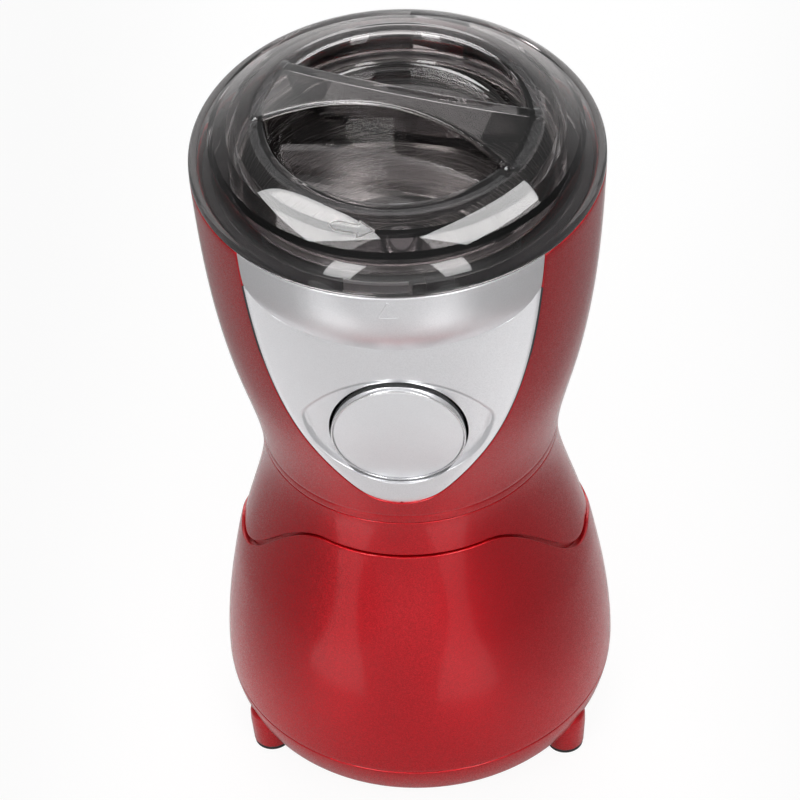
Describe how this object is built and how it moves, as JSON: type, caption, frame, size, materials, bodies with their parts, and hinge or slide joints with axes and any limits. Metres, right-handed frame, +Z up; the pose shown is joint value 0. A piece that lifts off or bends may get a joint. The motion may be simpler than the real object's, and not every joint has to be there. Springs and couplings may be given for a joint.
{
  "type": "electric spice grinder",
  "caption": "Hourglass countertop spice grinder with a smoke dome lid that turns to lock, a steel bowl with a flat blade, a round pulse button in a silver shield and short legs.",
  "frame": {"origin": "middle of the circle on which the body stands, on the surface under the foot pads", "axes": "+Z up along the motor shaft; the button and the silver shield face -Y; the cord's inlet faces +Y"},
  "size_m": [0.1, 0.1, 0.2012],
  "materials": {
    "smoke_lid": "polished clear smoke",
    "clear_silicone": "satin",
    "bowl_steel": "spun",
    "silver_paint": "satin metallic",
    "button_silver": "fine satin",
    "chrome_trim": "polished",
    "blade_steel": "ground",
    "black_rubber": "matt",
    "red_flake": "metallic under clear coat",
    "black_plastic": "matt",
    "spring_steel": "drawn wire",
    "switch_black": "matt",
    "switch_red": "gloss",
    "screw_steel": "zinc plated",
    "shaft_steel": "ground",
    "bracket_iron": "galvanised sheet",
    "bronze": "sintered",
    "lamination": "stacked sheet",
    "copper_wire": "enamelled wire",
    "commutator_copper": "turned",
    "carbon": "pressed carbon",
    "fan_plastic": "matt"
  },
  "bodies": {
    "housing": {"grinding_bowl": "bowl_steel", "bowl_surround": "silver_paint", "shaft_seal": "black_rubber", "upper_housing": "red_flake", "front_panel": "silver_paint", "button_guide": "black_plastic", "button_spring": "spring_steel", "switch_body": "switch_black", "bowl_support": "black_plastic", "support_screws": "screw_steel", "interlock_spring": "spring_steel", "interlock_switch": "switch_black", "waist_shell": "red_flake", "base_shell": "red_flake", "bottom_cover": "red_flake", "base_screws": "screw_steel", "legs": "red_flake", "foot_pads": "black_rubber", "cord_bushing": "black_rubber", "upper_bracket": "bracket_iron", "lower_bracket": "bracket_iron", "upper_bush": "bronze", "lower_bush": "bronze", "stator_core": "lamination", "stator_coils": "copper_wire", "brush_holders": "black_plastic", "carbon_brushes": "carbon", "brush_springs": "spring_steel", "motor_bolts": "screw_steel", "motor_dampers": "black_rubber", "damper_screws": "screw_steel"},
    "seal": {"lid_seal": "clear_silicone"},
    "lid": {"lid": "smoke_lid"},
    "rotor": {"motor_shaft": "shaft_steel", "blade": "blade_steel", "blade_nut": "blade_steel", "armature_core": "lamination", "armature_winding": "copper_wire", "commutator": "commutator_copper", "cooling_fan": "fan_plastic"},
    "button": {"pulse_button": "button_silver", "button_ring": "chrome_trim"},
    "plunger": {"switch_plunger": "switch_red"},
    "interlock": {"interlock_rod": "black_plastic"}
  },
  "joints": [
    {"name": "lid_lift", "type": "slide", "parent": "housing", "child": "seal", "axis": [0, 0, 1], "range_m": [0, 0.06]},
    {"name": "lid_turn", "type": "hinge", "parent": "seal", "child": "lid", "pos_m": [0, 0, 0.182], "axis": [0, 0, 1], "range_deg": [0, 18]},
    {"name": "rotor_spin", "type": "hinge", "parent": "housing", "child": "rotor", "pos_m": [0, 0, 0.09], "axis": [0, 0, 1], "continuous": true},
    {"name": "button_press", "type": "slide", "parent": "housing", "child": "button", "axis": [0, 1, 0], "range_m": [0, 0.003], "stiffness_N_per_m": 400, "springref_m": -0.003, "deforming": ["button_spring"]},
    {"name": "switch_press", "type": "slide", "parent": "housing", "child": "plunger", "axis": [0, 1, 0], "range_m": [0, 0.003]},
    {"name": "interlock_press", "type": "slide", "parent": "housing", "child": "interlock", "axis": [0, 0, -1], "range_m": [0, 0.0024], "deforming": ["interlock_spring"]}
  ],
  "couplings": [
    {"joint": "switch_press", "follows": "button_press", "ratio": 1},
    {"joint": "interlock_press", "follows": "lid_turn", "m_per_rad": 0.0076394}
  ]
}
